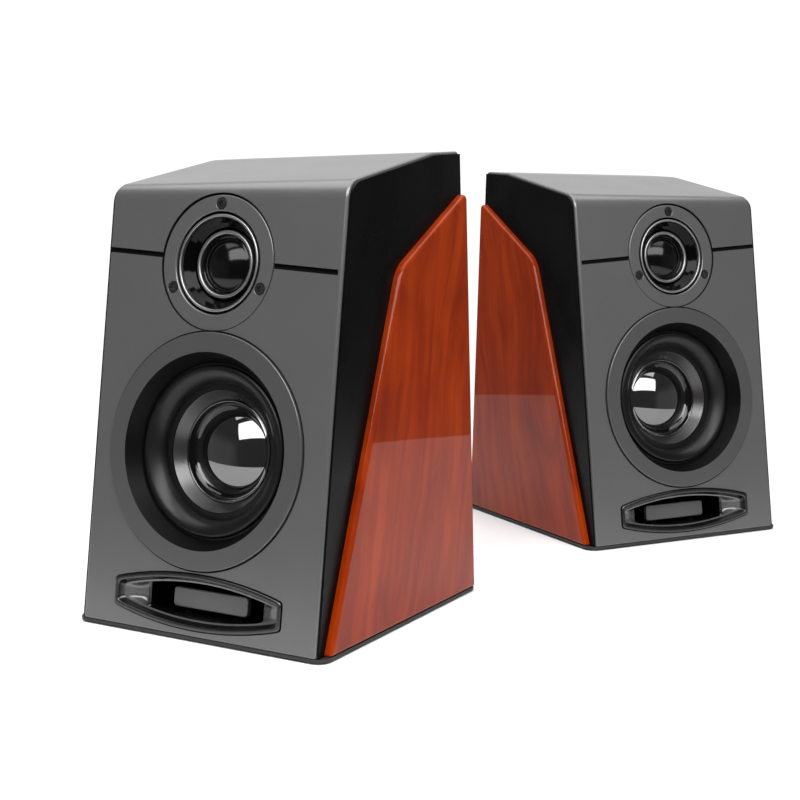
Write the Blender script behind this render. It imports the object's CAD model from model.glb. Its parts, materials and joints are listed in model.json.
# The looks of a pair of two-way desktop speakers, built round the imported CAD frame.
# Shapes are drawn in millimetres in a cabinet's own frame: x towards the pair's middle, y back,
# z up, with the foot of the sloping front on the x axis. Each speaker's placement turns them
# into metres in the shared frame. The right speaker is the mirror image of the left one.
import json
import math

import bmesh
import bpy
from mathutils import Matrix, Vector


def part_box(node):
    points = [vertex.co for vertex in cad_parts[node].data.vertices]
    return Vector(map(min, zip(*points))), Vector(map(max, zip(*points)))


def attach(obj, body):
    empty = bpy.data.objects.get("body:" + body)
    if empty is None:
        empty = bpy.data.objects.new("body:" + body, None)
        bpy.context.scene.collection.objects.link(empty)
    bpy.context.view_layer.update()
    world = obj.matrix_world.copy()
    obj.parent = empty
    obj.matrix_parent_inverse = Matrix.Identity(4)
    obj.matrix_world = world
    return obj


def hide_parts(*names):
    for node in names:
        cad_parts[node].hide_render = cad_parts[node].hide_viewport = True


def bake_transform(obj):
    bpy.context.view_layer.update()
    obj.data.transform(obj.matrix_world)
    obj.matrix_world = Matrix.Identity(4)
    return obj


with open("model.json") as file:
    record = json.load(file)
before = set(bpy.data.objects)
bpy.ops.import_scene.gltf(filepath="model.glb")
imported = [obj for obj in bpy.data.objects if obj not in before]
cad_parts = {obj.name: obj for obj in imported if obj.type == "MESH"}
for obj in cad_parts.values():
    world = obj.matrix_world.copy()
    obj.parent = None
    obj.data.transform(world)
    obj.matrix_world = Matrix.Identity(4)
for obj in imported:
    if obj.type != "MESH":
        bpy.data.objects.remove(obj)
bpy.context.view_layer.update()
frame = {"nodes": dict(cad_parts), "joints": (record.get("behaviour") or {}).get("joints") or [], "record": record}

MM = 0.001

# Cabinet, as in the CAD
CAB_W, CAB_D, CAB_H = 104.0, 112.0, 174.0
LEAN = math.radians(8.3)            # of the front
BACK_LEAN = math.radians(3.3)
TOP_SLOPE = math.radians(12)
FRONT_H = 160.0                     # corner between the front and the top
BEND_Y = 82.0                       # where the top flattens out
BROW_R, BEND_R = 8.0, 40.0
BASE_Z = 1.8
WALL, SKIN = 3.0, 2.0
WOOD_T = 3.0
FASCIA_W = CAB_W - 1.7
FEET_MIDDLE = 56.0                  # depth of the middle of the four feet

# Drivers: heights up the front, and levels out of it, as in the CAD
DRIVER_X = -1.4
WOOFER_V, TWEETER_V = 67.3, 133.9
RING_R, MOUTH_R, RING_PROUD = 42.1, 35.0, 0.9
LIP_Z, INNER_LIP_Z, LIP_T = -5.8, -10.0, 0.6
ROLL = (24.2, 31.0)
CONE_LIP_R, CONE_R, CONE_SLOPE = 22.0, 23.7, 1.25
CONE_Z = INNER_LIP_Z - LIP_T - 0.05
NECK_R = 9.85
NECK_Z = CONE_Z - (CONE_LIP_R - NECK_R)*CONE_SLOPE
FLANGE_R, FLANGE_HOLE, FLANGE_T, FLANGE_SUNK = 24.1, 18.3, 2.5, 0.2
FLANGE_SCREWS = [math.radians(a) for a in (90, 205, 335)]
FLANGE_SCREW_R = 21.0
SEAM_V, SEAM_H, SEAM_DEEP, SEAM_END = 134.7, 1.9, 1.2, 49.4
SEAM_SLOPE = 0.0725                 # how steeply the seam falls towards the pair's middle

# Bass port
PORT_V = 14.1
PORT_W, PORT_END, PORT_MID = 36.5, 4.8, 9.8      # half widths and half heights
PORT_POINTS = 120
DUCT_W, DUCT_LOW, DUCT_HIGH, DUCT_WALL, DUCT_END = 26.0, 6.4, 19.5, 1.5, 45.0
BADGE_W, BADGE_H, BADGE_BACK, BADGE_FACE = 16.5, 3.65, -10.5, -8.5

KNOB_H, KNOB_R, KNOB_L = 118.0, 10.0, 11.0

# Rounding of the visible edges of the parts that keep their CAD shape, by material
BEVELS = {"base": 0.4, "cabinet": 0.25, "foot": 0.15, "socket": 0.2, "pot": 0.12, "screw": 0.1}

# A cutter is moved by a hair and tried again where its cut comes out with a gap
CARVE_TRIES, CARVE_NUDGE, CARVE_MERGE = 6, 0.003, 0.0006

FLOOR_R = 0.44                      # metres

# How bright the surroundings are ahead of the speakers and at their sides; the backdrop is 1
FRONT_LEVEL, SIDE_LEVEL = 0.10, 0.13


# ------------------------------------------------------------------ outlines

def inset(points, by):
    """A convex anticlockwise outline with each edge moved in by its own distance."""
    n = len(points)
    lines = []
    for i in range(n):
        a, b = Vector(points[i]), Vector(points[(i + 1) % n])
        along = (b - a).normalized()
        lines.append((a + Vector((-along.y, along.x))*by[i], along))
    out = []
    for i in range(n):
        (p, u), (q, w) = lines[i - 1], lines[i]
        out.append(p + u*((q - p).cross(w)/u.cross(w)))
    return out


def fillet(points, radii, steps=6):
    """An outline with each corner rounded by its own radius."""
    points = [Vector(p) for p in points]
    n, out = len(points), []
    for i, r in enumerate(radii):
        b = points[i]
        if r <= 0:
            out.append(b)
            continue
        u, v = (points[i - 1] - b).normalized(), (points[(i + 1) % n] - b).normalized()
        half = u.angle(v)/2
        middle = b + (u + v).normalized()*(r/math.sin(half))
        start, end = b + u*(r/math.tan(half)) - middle, b + v*(r/math.tan(half)) - middle
        a = math.atan2(start.y, start.x)
        turn = (math.atan2(end.y, end.x) - a + math.pi) % math.tau - math.pi
        out += [middle + Vector((math.cos(a + turn*k/steps), math.sin(a + turn*k/steps)))*r
                for k in range(steps + 1)]
    return out


def quarter(steps=5):
    """Pairs (along, in) of a rounded edge: from the flat face to the side."""
    return [(math.sin(a), 1 - math.cos(a)) for a in
            [math.pi/2*k/steps for k in range(steps + 1)]]


def arc(r, rise, base, steps=24):
    """A dome's outline from its rim (r, base) to its top (0, base + rise)."""
    big = (r*r + rise*rise)/(2*rise)
    half = math.asin(r/big)
    return [(big*math.sin(half*(1 - k/steps)), base + rise - big + big*math.cos(half*(1 - k/steps)))
            for k in range(steps + 1)]


def front_y(z):
    return z*math.tan(LEAN)


def back_y(z):
    return CAB_D - z*math.tan(BACK_LEAN)


SIDE_VIEW = [(front_y(BASE_Z), BASE_Z), (back_y(BASE_Z), BASE_Z), (back_y(CAB_H), CAB_H),
             (BEND_Y, FRONT_H + (BEND_Y - front_y(FRONT_H))*math.tan(TOP_SLOPE)),
             (front_y(FRONT_H), FRONT_H)]


def fascia_section(d):
    """The fascia's side view: front and top in one bent sheet, its outer face moved in by d."""
    outer = inset(SIDE_VIEW, [0, 0, d, d, d])
    inner = inset(SIDE_VIEW, [0, 0, SKIN, SKIN, WALL])
    corners = [inner[0], outer[0], outer[4], outer[3], outer[2], inner[2], inner[3], inner[4]]
    radii = [0, 0.6, BROW_R - d, BEND_R - d, 0.6, 0, BEND_R - SKIN, BROW_R - SKIN]
    return fillet(corners, radii, 12)


def eye(grow=0.0):
    """The port's outline, grown outwards, as points round its middle."""
    w, end, mid = PORT_W + grow, PORT_END + grow*0.8, PORT_MID + grow
    big = (w*w + (mid - end)**2)/(2*(mid - end))
    half = math.asin(w/big)
    edge = [Vector((big*math.sin(half*(1 - k/12)), mid - big + big*math.cos(half*(1 - k/12))))
            for k in range(25)]
    corners = edge + [Vector((p.x, -p.y)) for p in reversed(edge)]
    radii = [0.0]*len(corners)
    for i in (0, 24, 25, 49):
        radii[i] = min(1.6, end*0.6)
    return around(fillet(corners, radii, 4))


def block(w, h, r):
    """A rounded rectangle as points round its middle."""
    return around(fillet([(w, -h), (w, h), (-w, h), (-w, -h)], [r]*4, 5))


def around(outline):
    """An outline that is star-shaped about the origin, seen in directions spaced for the port."""
    out = []
    for k in range(PORT_POINTS):
        a = math.tau*k/PORT_POINTS
        ray = Vector((PORT_W*math.cos(a), PORT_MID*math.sin(a)))
        for i in range(len(outline)):
            p, q = outline[i - 1], outline[i]
            edge = q - p
            side = ray.cross(edge)
            if abs(side) < 1e-12:
                continue
            t, s = p.cross(edge)/side, p.cross(ray)/side
            if t > 0 and -1e-9 <= s <= 1 + 1e-9:
                out.append(ray*t)
                break
    return out


# ------------------------------------------------------------------ places

def on_front(x, v, z):
    return Vector((x, v*math.sin(LEAN) - z*math.cos(LEAN), v*math.cos(LEAN) + z*math.sin(LEAN)))


def on_back(x, h, z):
    return Vector((x, CAB_D + z*math.cos(BACK_LEAN) - h*math.sin(BACK_LEAN),
                   h*math.cos(BACK_LEAN) + z*math.sin(BACK_LEAN)))


def brow_drop(v):
    """How far the brow falls away from the front's plane at height v up the front."""
    start = FRONT_H/math.cos(LEAN) - BROW_R*math.tan((math.pi/2 - LEAN - TOP_SLOPE)/2)
    return BROW_R - math.sqrt(BROW_R**2 - min(BROW_R, max(0.0, v - start))**2)


# ------------------------------------------------------------------ shapes

def loft(loops, closed=False):
    """Vertices and faces through equal loops, capped unless the last loop meets the first."""
    n, m = len(loops[0]), len(loops)
    verts = [p for loop in loops for p in loop]
    faces = [(a*n + i, a*n + (i + 1) % n, b*n + (i + 1) % n, b*n + i)
             for a, b in [(k, (k + 1) % m) for k in range(m if closed else m - 1)]
             for i in range(n)]
    if not closed:
        faces += [tuple(range(n)), tuple(range((m - 1)*n, m*n))]
    return verts, faces


def lathe(profile, place, n=160):
    """A closed (r, z) outline turned about a driver's axis; place maps (x, y, z) to the cabinet."""
    loops = [[place(r*math.cos(math.tau*k/n), r*math.sin(math.tau*k/n), z) for k in range(n)]
             for r, z in profile]
    return loft(loops, closed=True)


def at_driver(v):
    return lambda x, y, z: on_front(DRIVER_X + x, v + y, z)


def at_tweeter_skin(shift=0.0):
    """The tweeter's place with the levels above the flange's back following the brow."""
    def place(x, y, z):
        v = TWEETER_V + shift + y
        share = min(1.0, max(0.0, (z + FLANGE_T)/FLANGE_T))
        return on_front(DRIVER_X + x, v, z - share*brow_drop(v))
    return place


def joined(*shapes):
    verts, faces = [], []
    for v, f in shapes:
        faces += [tuple(i + len(verts) for i in face) for face in f]
        verts += v
    return verts, faces


# ------------------------------------------------------------------ speakers

class Speaker:
    """Where one speaker stands, taken from the frame, and how its pieces are made."""

    def __init__(self, side):
        self.side, self.flip = side, 1 if side == "left" else -1
        self.body = f"{side}_speaker"
        travel = next(j for j in frame["joints"] if j["name"] == f"{side}_woofer_travel")
        self.axis = Vector(travel["axis"])
        lo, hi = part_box(f"{side}_feet")
        middle = (Vector(lo) + Vector(hi))/2
        self.matrix = (Matrix.Translation((middle.x, middle.y, 0))
                       @ Matrix.Rotation(math.atan2(self.axis.x, -self.axis.y), 4, "Z")
                       @ Matrix.Translation((0, -FEET_MIDDLE*MM, 0)))

    def inner(self, p):
        """A point of the drawing in metres in the cabinet's own frame, mirrored on the right."""
        return Vector((p[0]*self.flip, p[1], p[2]))*MM

    def world(self, p):
        return self.matrix @ self.inner(p)

    def solid(self, name, shape):
        """An object of one closed mesh, placed with the speaker."""
        bm = bmesh.new()
        verts = [bm.verts.new(self.inner(p)) for p in shape[0]]
        for face in shape[1]:
            bm.faces.new([verts[i] for i in face])
        bmesh.ops.remove_doubles(bm, verts=bm.verts, dist=1e-7)
        bmesh.ops.delete(bm, geom=[e for e in bm.edges if not e.link_faces], context="EDGES")
        bmesh.ops.recalc_face_normals(bm, faces=bm.faces)
        mesh = bpy.data.meshes.new(name)
        bm.to_mesh(mesh)
        bm.free()
        obj = bpy.data.objects.new(name, mesh)
        bpy.context.collection.objects.link(obj)
        obj.matrix_world = self.matrix
        return obj

    def carved(self, obj, cut, material):
        """The object's mesh less one cutter, which is nudged until the result is closed."""
        best = None
        for nudge in range(CARVE_TRIES):
            tool = self.solid("cutter", cut)
            tool.location += Vector((0.7, 1.0, 0.8))*nudge*CARVE_NUDGE*MM
            tool.data.materials.append(material)
            carve = obj.modifiers.new("carve", "BOOLEAN")
            carve.operation, carve.solver, carve.object = "DIFFERENCE", "EXACT", tool
            carve.material_mode = "TRANSFER"
            bpy.context.view_layer.update()
            done = bpy.data.meshes.new_from_object(
                obj.evaluated_get(bpy.context.evaluated_depsgraph_get()))
            obj.modifiers.clear()
            bpy.data.objects.remove(tool)
            bm = bmesh.new()
            bm.from_mesh(done)
            bmesh.ops.remove_doubles(bm, verts=bm.verts, dist=CARVE_MERGE*MM)
            bmesh.ops.dissolve_degenerate(bm, edges=bm.edges, dist=CARVE_MERGE*MM)
            gaps = sum(len(edge.link_faces) != 2 for edge in bm.edges)
            bm.to_mesh(done)
            bm.free()
            if best is None or gaps < best[0]:
                best = gaps, done
            if not gaps:
                break
        return best[1]

    def piece(self, name, shape, material, nodes, body=None, slot=None, cuts=(), inside=None,
              sharp=38):
        """A finished piece that stands for its CAD nodes: solid, carved, smoothed and riding."""
        obj = self.solid(f"{self.side}_{name}", shape)
        obj.data.materials.append(material)
        for cut in cuts:
            obj.data = self.carved(obj, cut, inside or material)
            obj.data.name = obj.name
        smooth(obj, sharp)
        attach(obj, body or self.body)
        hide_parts(*[f"{self.side}_{n}" for n in nodes])
        return obj


def paint(obj, material, test):
    """Gives the faces that pass the test a second material."""
    obj.data.materials.append(material)
    for face in obj.data.polygons:
        if test(face):
            face.material_index = len(obj.data.materials) - 1


def smooth(obj, sharp):
    """Smooth shading with edges kept sharp above an angle, and flat faces kept flat."""
    bm = bmesh.new()
    bm.from_mesh(obj.data)
    limit = math.radians(sharp)
    for face in bm.faces:
        face.smooth = True
    for edge in bm.edges:
        edge.smooth = len(edge.link_faces) == 2 and edge.calc_face_angle(0.0) < limit
    bm.to_mesh(obj.data)
    bm.free()
    weigh = obj.modifiers.new("weighted normals", "WEIGHTED_NORMAL")
    weigh.keep_sharp = True
    weigh.weight = 80


# ------------------------------------------------------------------ materials

class Nodes:
    """Short names for the shader nodes that the materials use."""

    def __init__(self, name):
        self.material = bpy.data.materials.new(name)
        self.material.use_nodes = True
        self.tree = self.material.node_tree
        self.shader = self.tree.nodes["Principled BSDF"]
        self.coords = self.tree.nodes.new("ShaderNodeTexCoord").outputs["Object"]

    def node(self, kind, inputs=None, **settings):
        made = self.tree.nodes.new(kind)
        for key, value in settings.items():
            setattr(made, key, value)
        for key, value in (inputs or {}).items():
            if isinstance(value, bpy.types.NodeSocket):
                self.tree.links.new(value, made.inputs[key])
            else:
                made.inputs[key].default_value = value
        return made

    def noise(self, scale, detail=4.0, vector=None, distortion=0.0, roughness=0.5):
        return self.node("ShaderNodeTexNoise", {
            "Vector": vector or self.coords, "Scale": scale, "Detail": detail,
            "Distortion": distortion, "Roughness": roughness}).outputs["Fac"]

    def stretch(self, scale, turn=(0, 0, 0), vector=None):
        return self.node("ShaderNodeMapping", {"Vector": vector or self.coords, "Scale": scale,
                                               "Rotation": turn}).outputs[0]

    def span(self, value, low, high, start=0.0, end=1.0):
        return self.node("ShaderNodeMapRange", {"Value": value, "From Min": start, "From Max": end,
                                                "To Min": low, "To Max": high}).outputs[0]

    def ramp(self, value, stops):
        made = self.node("ShaderNodeValToRGB", {"Fac": value})
        ramp = made.color_ramp
        while len(ramp.elements) < len(stops):
            ramp.elements.new(0.5)
        for element, (place, color) in zip(ramp.elements, stops):
            element.position, element.color = place, (*color, 1)
        return made.outputs["Color"]

    def mix(self, share, a, b, blend="MIX"):
        made = self.node("ShaderNodeMix", data_type="RGBA", blend_type=blend)
        for socket, value in ((0, share), (6, a), (7, b)):
            if isinstance(value, bpy.types.NodeSocket):
                self.tree.links.new(value, made.inputs[socket])
            else:
                made.inputs[socket].default_value = value if socket == 0 else (*value, 1)
        return made.outputs[2]

    def bump(self, height, strength, distance):
        return self.node("ShaderNodeBump", {"Height": height, "Strength": strength,
                                            "Distance": distance}).outputs["Normal"]

    def finish(self, links, **sockets):
        for key, value in links.items():
            self.tree.links.new(value, self.shader.inputs[key])
        for key, value in sockets.items():
            self.shader.inputs[key.replace("_", " ")].default_value = value
        return self.material


# Depths of the textures, in metres
GRAIN_DEPTH, PORE_DEPTH = 0.00001, 0.00002


def finish_of(name, color, roughness, vary=0.12, rough_vary=0.06, grain=900.0, bump=0.15,
              **sockets):
    """A moulded, painted or plated surface: slight tone and gloss changes and a fine texture."""
    n = Nodes(name)
    tone = n.noise(45.0, 3.0)
    speck = n.noise(grain, 2.0)
    dark, light = [tuple(c*k for c in color) for k in (1 - vary, 1 + vary)]
    base = n.mix(n.span(speck, 0.0, 1.0, 0.3, 0.7), n.mix(tone, dark, light), light)
    rough = n.span(tone, roughness - rough_vary, roughness + rough_vary, 0.3, 0.7)
    return n.finish({"Base Color": base, "Roughness": rough,
                     "Normal": n.bump(speck, bump, GRAIN_DEPTH)}, **sockets)


def veneer():
    """Red-orange figured veneer under gloss lacquer, its grain leaning back as it rises."""
    n = Nodes("wood_veneer")
    leaning = n.stretch((1, 1, 1), (math.radians(12), 0, 0))
    sway = n.noise(14.0, 2.0, leaning)
    bent = n.node("ShaderNodeVectorMath", {0: leaning, 1: n.node(
        "ShaderNodeCombineXYZ", {"Y": n.span(sway, -0.012, 0.012)}).outputs[0]},
        operation="ADD").outputs[0]
    streaks = n.noise(1.0, 5.0, n.stretch((20, 130, 9), vector=bent), 0.6, 0.55)
    fine = n.noise(1.0, 4.0, n.stretch((300, 900, 28), vector=bent), 0.0, 0.6)
    flame = n.noise(1.0, 3.0, n.stretch((12, 42, 16), vector=bent), 1.6)
    figure = n.ramp(streaks, [(0.28, (0.160, 0.012, 0.0004)), (0.45, (0.208, 0.0175, 0.0005)),
                              (0.58, (0.248, 0.024, 0.0006)), (0.75, (0.286, 0.032, 0.0008))])
    shade = n.ramp(flame, [(0.3, (0.76, 0.68, 0.6)), (0.5, (1, 1, 1)), (0.72, (1.12, 1.2, 1.25))])
    pores = n.ramp(fine, [(0.3, (0.92, 0.9, 0.88)), (0.5, (1, 1, 1))])
    base = n.mix(1.0, n.mix(1.0, figure, shade, "MULTIPLY"), pores, "MULTIPLY")
    return n.finish({"Base Color": base, "Roughness": n.span(fine, 0.3, 0.42),
                     "Normal": n.bump(fine, 0.06, PORE_DEPTH)},
                    Specular_IOR_Level=0.04, Coat_Weight=0.42, Coat_Roughness=0.02, Coat_IOR=1.45)


MATERIALS = {
    "fascia": finish_of("gunmetal_paint", (0.153, 0.152, 0.153), 0.31, 0.05, 0.015, 2600.0,
                        bump=0.04, Metallic=0.65, Specular_IOR_Level=0.25),
    "groove": finish_of("groove_shadow", (0.003, 0.003, 0.003), 0.7, Specular_IOR_Level=0.1),
    "mouth": finish_of("mouth_black", (0.002, 0.002, 0.0021), 0.4, Specular_IOR_Level=0.12),
    "cabinet": finish_of("black_satin", (0.0015, 0.0015, 0.0018), 0.3, Specular_IOR_Level=0.09),
    "wood": veneer(),
    "base": finish_of("black_matte", (0.012, 0.012, 0.012), 0.6),
    "foot": finish_of("foot_rubber", (0.014, 0.014, 0.014), 0.75, bump=0.4),
    "screw": finish_of("blackened_steel", (0.09, 0.09, 0.1), 0.3, Metallic=1.0),
    "port_trim": finish_of("port_gloss_black", (0.003, 0.003, 0.0035), 0.24, rough_vary=0.03,
                           bump=0.03, IOR=1.7),
    "dish": finish_of("dish_gloss_grey", (0.11, 0.11, 0.112), 0.3, bump=0.03, Metallic=0.5,
                      IOR=1.8),
    "trim_ring": finish_of("dark_gunmetal", (0.112, 0.112, 0.114), 0.33, 0.05, 0.015, 2600.0,
                           bump=0.04, Metallic=0.65, Specular_IOR_Level=0.25),
    "basket": finish_of("black_enamel", (0.015, 0.015, 0.015), 0.4),
    "surround": finish_of("surround_rubber", (0.0025, 0.0025, 0.0027), 0.36, bump=0.1,
                          Specular_IOR_Level=0.32),
    "cone": finish_of("cone_satin", (0.008, 0.008, 0.0085), 0.3, bump=0.15, IOR=1.8),
    "dust_cap": finish_of("cap_mirror_black", (0.002, 0.002, 0.0024), 0.05, rough_vary=0.015,
                          bump=0.02, IOR=2.1, Coat_Weight=1.0, Coat_Roughness=0.02),
    "coil": finish_of("coil_copper", (0.55, 0.25, 0.1), 0.3, Metallic=1.0),
    "spider": finish_of("spider_weave", (0.5, 0.34, 0.14), 0.8, grain=1500.0, bump=0.6),
    "magnet": finish_of("ferrite", (0.03, 0.03, 0.032), 0.6, bump=0.4),
    "pole_steel": finish_of("zinc_plate", (0.5, 0.5, 0.51), 0.35, Metallic=1.0),
    "bright_ring": finish_of("bright_plating", (0.3, 0.3, 0.303), 0.42, 0.04, 0.03, bump=0.03,
                             Metallic=1.0),
    "cup": finish_of("cup_gloss_black", (0.001, 0.001, 0.0011), 0.1, rough_vary=0.03, bump=0.05,
                     Specular_IOR_Level=0.12),
    "dome": finish_of("dome_mirror_black", (0.001, 0.001, 0.0012), 0.14, rough_vary=0.02,
                      bump=0.02, Specular_IOR_Level=0.3),
    "wire": finish_of("wire_insulation", (0.35, 0.012, 0.012), 0.45),
    "socket": finish_of("socket_nylon", (0.012, 0.012, 0.012), 0.4),
    "socket_shell": finish_of("nickel_shell", (0.6, 0.59, 0.57), 0.22, Metallic=1.0),
    "board": finish_of("solder_mask", (0.012, 0.1, 0.03), 0.35, Coat_Weight=0.4),
    "pot": finish_of("plain_metal", (0.55, 0.55, 0.57), 0.35, Metallic=1.0),
    "knob": finish_of("knob_satin_black", (0.012, 0.012, 0.013), 0.45, bump=0.25),
}


# ------------------------------------------------------------------ cabinet pieces

def fascia_cuts():
    """What is cut out of the front: the two drivers' seats, the seam and the port."""
    lip = 0.45
    flare = quarter()
    seat = RING_R + 0.15
    woofer = lathe([(0, -12), (39, -12), (39, -1.6), (seat, -1.6)]
                   + [(seat + lip*d, -lip*(1 - a)) for a, d in flare] + [(seat + lip, 3), (0, 3)],
                   at_driver(WOOFER_V))
    seat = FLANGE_R + 0.3
    tweeter = lathe([(0, -12), (19.5, -12), (19.5, -FLANGE_T), (seat, -FLANGE_T)]
                    + [(seat + 0.3*d, -0.3*(1 - a)) for a, d in flare]
                    + [(seat + 0.3, 3), (0, 3)], at_tweeter_skin(0.27))
    half = SEAM_H/2
    groove = fillet([(-half, -SEAM_DEEP), (half, -SEAM_DEEP), (half, 2), (-half, 2)],
                    [0.3, 0.3, 0, 0])
    seam = loft([[on_front(x, SEAM_V - SEAM_SLOPE*x + v, z) for v, z in groove]
                 for x in (-CAB_W, SEAM_END)])
    levels = [(-1.2, -8)] + [(-1.2, -1.2), (0.12, -1.2)] + \
        [(0.12 + 0.3*d, -0.3*(1 - a)) for a, d in flare] + [(0.42, 3)]
    port = loft([[on_front(p.x, PORT_V + p.y, z) for p in eye(grow)] for grow, z in levels])
    return [woofer, tweeter, seam, port]


def fascia(s):
    edge = 1.1
    stations = [(FASCIA_W/2 - edge + edge*a, edge*d) for a, d in quarter(6)]
    ends = [(-x, d) for x, d in reversed(stations)] + stations
    shape = loft([[Vector((x, y, z)) for y, z in fascia_section(d)] for x, d in ends])
    s.piece("front_and_top", shape, MATERIALS["fascia"], ["fascia", "top_cover"],
            slot="fascia", cuts=fascia_cuts(), inside=MATERIALS["groove"], sharp=30)


def wood_panel(s, name, x0, out):
    """One side panel; out is 1 where its outer face looks along +x."""
    edge = 1.5
    outline = [(4.6, BASE_Z), (back_y(BASE_Z), BASE_Z), (back_y(158.8), 158.8), (52.5, 130.5)]
    def section(d):
        return fillet(inset(outline, [d]*4), [max(0.02, 0.8 - d*0.6), max(0.02, 0.8 - d*0.6),
                                              2 - d, 15 - d], 10)
    stations = [(0, 0)] + [(WOOD_T - edge + edge*a, edge*d) for a, d in quarter(7)]
    shape = loft([[Vector((x0 + out*x, y, z)) for y, z in section(d)] for x, d in stations])
    s.piece(name, shape, MATERIALS["wood"], [name], slot="wood", sharp=30)


def woofer_ring(s):
    profile = fillet([(MOUTH_R, RING_PROUD), (RING_R, RING_PROUD), (RING_R, -1.6), (38.5, -1.6),
                      (38.5, -2.8), (36.6, -2.8), (34.6, LIP_Z + 0.1), (31.6, LIP_Z + 0.1)],
                     [0.3, 0.35, 0, 0, 0, 0, 0, 0])
    ring = s.piece("woofer_ring", lathe(profile, at_driver(WOOFER_V), 224), MATERIALS["trim_ring"],
                   ["woofer_ring"], slot="trim_ring")
    centre = s.inner(on_front(DRIVER_X, WOOFER_V, 0))
    axis = s.inner(on_front(0, 0, 1)).normalized()
    def in_mouth(face):
        off = face.center - centre
        return (off - axis*off.dot(axis)).length < (MOUTH_R + 0.05)*MM
    paint(ring, MATERIALS["mouth"], in_mouth)


def woofer_surround(s):
    """The half-roll surround: its outer lip stays with the cabinet, its inner lip moves."""
    rise, steps = 3.0, 28
    start, end = ROLL
    def roll(k, margin, drop):
        share = (1 - math.cos(math.pi*k/steps))/2
        return (start + margin + (end - start - 2*margin)*share,
                INNER_LIP_Z + (LIP_Z - INNER_LIP_Z)*share + rise*math.sin(math.pi*k/steps) - drop)
    profile = [(CONE_LIP_R, INNER_LIP_Z - LIP_T), (CONE_LIP_R, INNER_LIP_Z)] \
        + [roll(k, 0, 0) for k in range(steps + 1)] + [(36, LIP_Z), (36, LIP_Z - LIP_T)] \
        + [roll(k, LIP_T, LIP_T) for k in range(steps, -1, -1)]
    obj = s.piece("woofer_surround", lathe(profile, at_driver(WOOFER_V), 200),
                  MATERIALS["surround"], ["woofer_surround"], slot="surround", sharp=60)
    stretch_out(s, obj)


def stretch_out(s, obj):
    """Lets a ring move with the cone at radius start and stay with the cabinet at radius end."""
    obj.parent = None
    centre = s.world(on_front(DRIVER_X, WOOFER_V, 0))
    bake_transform(obj)
    for vertex in obj.data.vertices:
        off = vertex.co - centre
        r = (off - s.axis*off.dot(s.axis)).length/MM


def woofer_spider(s):
    """The corrugated spider that centres the coil."""
    start, end, t, depth, waves, steps = NECK_R + 0.25, 26.0, 0.4, 0.35, 3.5, 64
    level = NECK_Z - 2.4
    def wave(k, lift):
        share = k/steps
        return (start + (end - start)*share,
                level + lift - depth*(1 - math.cos(math.tau*waves*share)))
    profile = [wave(k, t) for k in range(steps + 1)] + [wave(k, 0) for k in range(steps, -1, -1)]
    obj = s.piece("woofer_spider", lathe(profile, at_driver(WOOFER_V), 96), MATERIALS["spider"],
                  ["woofer_spider"], slot="spider", sharp=60)
    stretch_out(s, obj)


def cone_front(r):
    return CONE_Z - (CONE_LIP_R - r)*CONE_SLOPE


def woofer_diaphragm(s):
    cone = fillet([(CONE_LIP_R, CONE_Z), (CONE_R, CONE_Z), (CONE_R, CONE_Z - 0.7),
                   (NECK_R + 0.6, NECK_Z - 1.2), (NECK_R, NECK_Z - 1.2), (NECK_R, NECK_Z)],
                  [0.3, 0, 0, 0, 0, 0.2])
    s.piece("woofer_cone", lathe(cone, at_driver(WOOFER_V)), MATERIALS["cone"], ["woofer_cone"],
            body=f"{s.side}_woofer", slot="cone")
    t, rim, dome_r, rise = 0.6, 18.6, 16.8, 6.4
    dome_z = cone_front(dome_r) + 0.6
    skirt = fillet([(dome_r + 0.4, dome_z), (rim - 0.4, cone_front(rim) + 0.9),
                    (rim, cone_front(rim) + 0.4), (rim, cone_front(rim) + 0.01),
                    (dome_r, cone_front(dome_r) + 0.01)], [0, 0.25, 0.1, 0, 0])
    profile = skirt + arc(dome_r - t, rise - t, dome_z) + arc(dome_r, rise, dome_z)[::-1]
    s.piece("woofer_dust_cap", lathe(profile, at_driver(WOOFER_V), 192), MATERIALS["dust_cap"],
            ["woofer_dust_cap"], body=f"{s.side}_woofer", slot="dust_cap", sharp=50)


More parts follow.
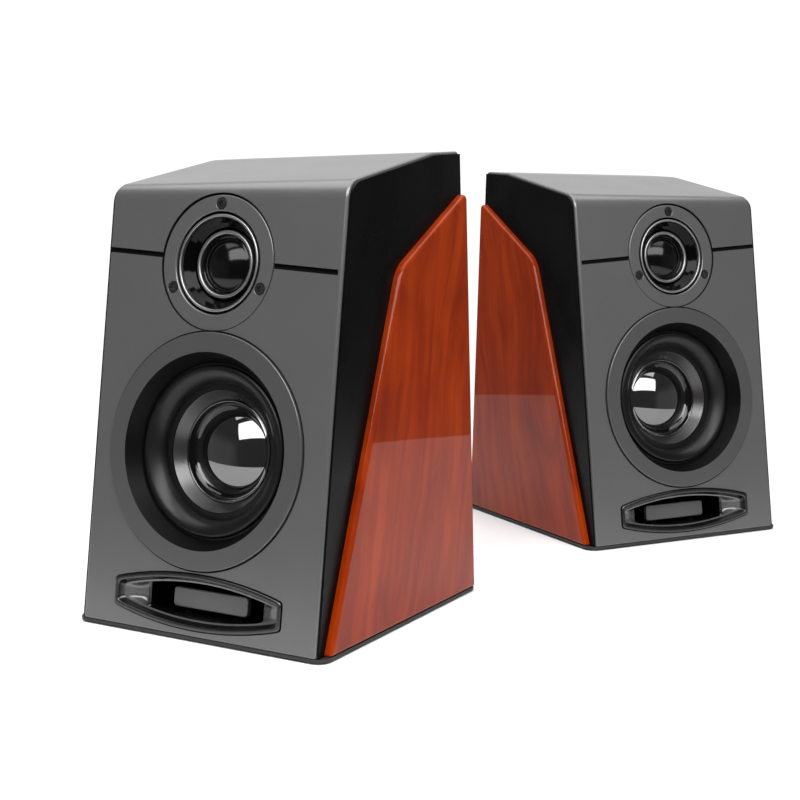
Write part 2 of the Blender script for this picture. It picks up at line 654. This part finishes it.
def tweeter(s):
    hole, r = FLANGE_HOLE, FLANGE_R
    top = -FLANGE_SUNK
    steps = 12
    face = [(hole + 0.5*(1 - a), top - 0.5*d) for a, d in reversed(quarter())] \
        + [(hole + 0.5 + (r - 0.85 - hole)*k/steps, top) for k in range(1, steps)] \
        + [(r - 0.35 + 0.35*a, top - 0.35*d) for a, d in quarter()]
    profile = face + [(r, -FLANGE_T), (19.3, -FLANGE_T), (hole, -1.2)]
    hole_profile = [(0, -4), (1.3, -4), (1.3, -1.2), (2.15, -1.2)] \
        + [(2.15 + 0.25*d, top - 0.25*(1 - a)) for a, d in quarter()] + [(2.4, 2), (0, 2)]

    def at_screw(angle):
        u = DRIVER_X + FLANGE_SCREW_R*math.cos(angle)
        v = TWEETER_V + FLANGE_SCREW_R*math.sin(angle)
        return lambda x, y, z: on_front(u + x, v + y, z - (brow_drop(v) if z > -1 else 0))
    holes = [lathe(hole_profile, at_screw(angle), 40) for angle in FLANGE_SCREWS]
    s.piece("tweeter_flange", lathe(profile, at_tweeter_skin(), 192), MATERIALS["fascia"],
            ["tweeter_flange"], slot="fascia", cuts=holes, sharp=32)
    place = at_driver(TWEETER_V)
    outer_ring, inner_ring = (16.4, 17.4, -1.8, -0.3, 0.45), (10.8, 12.3, -6.3, -4.3, 0.6)
    rings = [fillet([(lo, z0), (hi, z0), (hi, z1), (lo, z1)], [0, 0, round_r, round_r])
             for lo, hi, z0, z1, round_r in (outer_ring, inner_ring)]
    s.piece("tweeter_rings", joined(*[lathe(p, place) for p in rings]),
            MATERIALS["bright_ring"], ["tweeter_rings"], slot="bright_ring")
    cup = fillet([(16.2, -1.8), (18, -1.8), (19.1, -2.9), (19.1, -7), (22, -7), (22, -9),
                  (10.6, -9), (10.6, -6.3), (12.6, -6.3), (13.2, -4.9), (14.6, -3.6)],
                 [0.3, 0, 0, 0, 0, 0, 0, 0, 0.2, 0.5, 0.8])
    s.piece("tweeter_cup", lathe(cup, place), MATERIALS["cup"], ["tweeter_cup"], slot="cup")
    z, t = -5.7, 0.4
    dome = arc(9.6, 3.9, z)[::-1] + [(9.8, z - 0.1), (10.1, z + 0.05), (10.3, z - 0.1),
                                     (10.3, z - t), (9.7, z - t), (9.7, -13), (9.4, -13),
                                     (9.4, -14), (9.2, -14)] + arc(9.2, 3.5, z)
    s.piece("tweeter_dome", lathe(dome, place), MATERIALS["dome"], ["tweeter_dome"],
            body=f"{s.side}_tweeter", slot="dome", sharp=50)


def port(s):
    """The lens-shaped bezel, its dish and throat, and the duct behind it, as one tube."""
    def front_loop(outline, z):
        return [on_front(p.x, PORT_V + p.y, z) for p in outline]
    def duct_loop(w, low, high, y):
        middle, half = (low + high)/2, (high - low)/2
        return [Vector((p.x, y, middle + p.y)) for p in block(w, half, 1.2)]
    rim = [(-0.55*(1 - a), 0.8 - 0.55*d) for a, d in reversed(quarter())]
    rim += [(-1.15 - 0.5*a, 0.8 - 0.5*d) for a, d in quarter(4)]
    loops = [front_loop(eye(), -1.2)]
    loops += [front_loop(eye(grow), z) for grow, z in rim]
    loops += [front_loop(eye(grow), z) for grow, z in
              ((-1.9, -0.2), (-2.3, -1.2), (-2.7, -1.8), (-3.3, -2.0))]
    shift = 0.1
    throat = [Vector((p.x, p.y + shift)) for p in block(25.6, 6.7, 2.6)]
    dish_from = len(loops) - 2
    # The dish's ends scoop down into the throat
    for share, fall in ((0.2, 0.25), (0.4, 0.9), (0.6, 1.8), (0.8, 2.7), (1.0, 3.3)):
        loops += [[on_front(q.x + (p.x - q.x)*share, PORT_V + q.y + (p.y - q.y)*share,
                            -2.1 - fall*min(1, max(0, (abs(p.x) - 19)/6)))
                   for p, q in zip(throat, eye(-3.3))]]
    dish_to = len(loops) - 1
    throat = [Vector((p.x, p.y + shift)) for p in block(25, 6.2, 2.2)]
    loops += [front_loop(throat, -6.2), front_loop(throat, -8)]
    bore = DUCT_W, DUCT_LOW, DUCT_HIGH
    skin = DUCT_W + DUCT_WALL, DUCT_LOW - 1.45, DUCT_HIGH + DUCT_WALL
    loops += [duct_loop(*bore, 10.5), duct_loop(*bore, DUCT_END),
              duct_loop(*skin, DUCT_END), duct_loop(*skin, 7.5)]
    plug = eye(-1.3)
    loops += [front_loop(plug, -3), front_loop(plug, -1.2)]
    trim = s.piece("port_trim", loft(loops, closed=True), MATERIALS["port_trim"], ["port_trim"],
                   slot="port_trim", sharp=34)
    n = len(plug)
    paint(trim, MATERIALS["dish"], lambda face: dish_from*n <= face.index < dish_to*n)
    edge = 0.5
    def bar_loop(d, z):
        w, h = BADGE_W - d, BADGE_H - d
        outline = fillet([(w, -h), (w, h), (-w, h), (-w, -h)], [max(0.3, 1.5 - d)]*4)
        return [on_front(p.x, PORT_V - 0.4 + p.y, z) for p in outline]
    levels = [(0, BADGE_BACK)] + [(edge*d, BADGE_FACE - edge + edge*a) for a, d in quarter()]
    bar = loft([bar_loop(d, z) for d, z in levels])
    legs = [loft([[Vector((x + dx, y, z)) for dx, y in
                   ((-1.5, 12), (1.5, 12), (1.5, 16), (-1.5, 16))] for z in (DUCT_LOW, 14.4)])
            for x in (-11, 11)]
    badge = s.piece("port_badge", joined(bar, *legs), MATERIALS["fascia"], ["port_badge"],
                    slot="fascia")
    paint(badge, MATERIALS["groove"], lambda face: face.index >= len(bar[1]))


def volume_knob(s):
    """A fluted knob with a rounded end, a pointer groove and a hollow for the nut."""
    ribs, n = 24, 288
    def ring(z, d, fluted):
        loop = []
        for k in range(n):
            a = math.tau*k/n
            wave = 0.5 + 0.5*math.cos(a*ribs)
            r = KNOB_R - d - 0.05 - (0.55*(1 - wave**0.6) if fluted else 0.6)
            loop.append(on_back(r*math.cos(a), KNOB_H + r*math.sin(a), z))
        return loop
    top = 0.5 + KNOB_L
    loops = [ring(0.5, 0.0, False), ring(1.3, 0.0, False), ring(1.7, 0.0, True),
             ring(top - 1.4, 0.0, True), ring(top - 0.9, 0.1, True)]
    loops += [ring(top - 0.8 + 0.8*a, 0.15 + 0.8*d, False) for a, d in quarter()]
    nut = lathe([(0, 0), (7.2, 0), (7.2, 3.4), (3, 3.4), (3, 9), (0, 9)],
                lambda x, y, z: on_back(x, KNOB_H + y, z), 96)
    groove = loft([[on_back(x, KNOB_H + h, z) for x, z in
                    ((-0.6, KNOB_L), (0.6, KNOB_L), (0.6, 13), (-0.6, 13))] for h in (3, 12)])
    s.piece("volume_knob", loft(loops), MATERIALS["knob"], ["volume_knob"],
            body="volume_control", slot="knob", cuts=[nut, groove], sharp=40)


def build(s):
    fascia(s)
    wood_panel(s, "inner_wood_panel", CAB_W/2, 1)
    wood_panel(s, "outer_wood_panel", -CAB_W/2, -1)
    woofer_ring(s)
    woofer_surround(s)
    woofer_spider(s)
    woofer_diaphragm(s)
    tweeter(s)
    port(s)


# ------------------------------------------------------------------ stage

def stage(left):
    """A round pale floor, two large soft lights, a light backdrop behind, and the camera."""
    bm = bmesh.new()
    edge = [(FLOOR_R, -0.012), (FLOOR_R, -0.003), (FLOOR_R - 0.003, -0.0008), (FLOOR_R - 0.01, 0.0)]
    n = 160
    rings = [[bm.verts.new((r*math.cos(math.tau*k/n), r*math.sin(math.tau*k/n), z))
              for k in range(n)] for r, z in edge]
    for a, b in zip(rings, rings[1:]):
        for k in range(n):
            bm.faces.new((a[k], a[(k + 1) % n], b[(k + 1) % n], b[k]))
    bm.faces.new(rings[-1])
    bm.faces.new(rings[0][::-1])
    mesh = bpy.data.meshes.new("floor")
    bm.to_mesh(mesh)
    bm.free()
    floor = bpy.data.objects.new("floor", mesh)
    bpy.context.collection.objects.link(floor)
    floor.location = (-0.08, 0.12, 0)
    mesh.materials.append(finish_of("pale_floor", (0.87, 0.87, 0.87), 0.5, 0.01, 0.02))

    def softbox(name, place, target, size, power):
        light = bpy.data.lights.new(name, "AREA")
        light.shape, light.size, light.size_y, light.energy = "RECTANGLE", *size, power
        obj = bpy.data.objects.new(name, light)
        bpy.context.collection.objects.link(obj)
        obj.location = place
        aim = Vector(target) - Vector(place)
        obj.rotation_euler = aim.to_track_quat("-Z", "Y").to_euler()

    softbox("overhead", (-0.05, 0.15, 1.1), (-0.05, 0.15, 0), (1.5, 1.2), 15.5)
    softbox("front", (0.05, -0.68, 0.72), (0, 0, 0.08), (1.35, 0.5), 15)

    world = bpy.data.worlds.new("studio")
    bpy.context.scene.world = world
    world.use_nodes = True
    tree = world.node_tree

    def node(kind, *inputs, **settings):
        made = tree.nodes.new(kind)
        for key, value in settings.items():
            setattr(made, key, value)
        for socket, value in zip(made.inputs, inputs):
            if isinstance(value, bpy.types.NodeSocket):
                tree.links.new(value, socket)
            else:
                socket.default_value = value
        return made

    def step(value, start, end, low=0.0, high=1.0):
        return node("ShaderNodeMapRange", value, start, end, low, high,
                    interpolation_type="SMOOTHSTEP").outputs[0]

    def times(a, b, operation="MULTIPLY"):
        return node("ShaderNodeMath", a, b, operation=operation).outputs[0]

    x, y, z = node("ShaderNodeSeparateXYZ",
                   node("ShaderNodeTexCoord").outputs["Generated"]).outputs
    backdrop = step(y, 0.60, 0.86, 0.0, 0.95)
    sides = times(step(times(x, 0.0, "ABSOLUTE"), 0.45, 0.75),
                  step(times(y, -1.0), -0.32, 0.0, 0.0, SIDE_LEVEL))
    level_band = step(times(times(z, 0.0, "ABSOLUTE"), -1.0), -0.5, -0.2)
    light = times(times(times(sides, level_band), FRONT_LEVEL, "ADD"), backdrop, "ADD")
    tree.links.new(light, tree.nodes["Background"].inputs["Strength"])
    tree.nodes["Background"].inputs["Color"].default_value = (1, 1, 1, 1)

    camera = bpy.data.objects.new("camera", bpy.data.cameras.new("camera"))
    bpy.context.collection.objects.link(camera)
    origin = left.matrix.translation
    camera.location = origin + Vector((0.0872, -0.4534, 0.1419))
    camera.rotation_euler = (math.radians(83.0), 0, math.radians(1.8))
    camera.data.lens, camera.data.sensor_width = 60.18, 36
    bpy.context.scene.camera = camera
    bpy.context.scene.view_settings.view_transform = "Standard"


# ------------------------------------------------------------------ the model

left, right = Speaker("left"), Speaker("right")
for speaker in (left, right):
    build(speaker)
volume_knob(right)

slots = {part["node"]: part["material_slot"] for part in frame["record"]["subparts"]}
for name, node in frame["nodes"].items():
    node.data.materials.clear()
    node.data.materials.append(MATERIALS[slots[name]])
    width = BEVELS.get(slots[name])
    if width:
        weld = node.modifiers.new("weld", "WELD")
        weld.merge_threshold = 0.002*MM
        bevel = node.modifiers.new("soft edges", "BEVEL")
        bevel.width, bevel.segments = width*MM, 3
        bevel.limit_method, bevel.angle_limit = "ANGLE", math.radians(40)

stage(left)
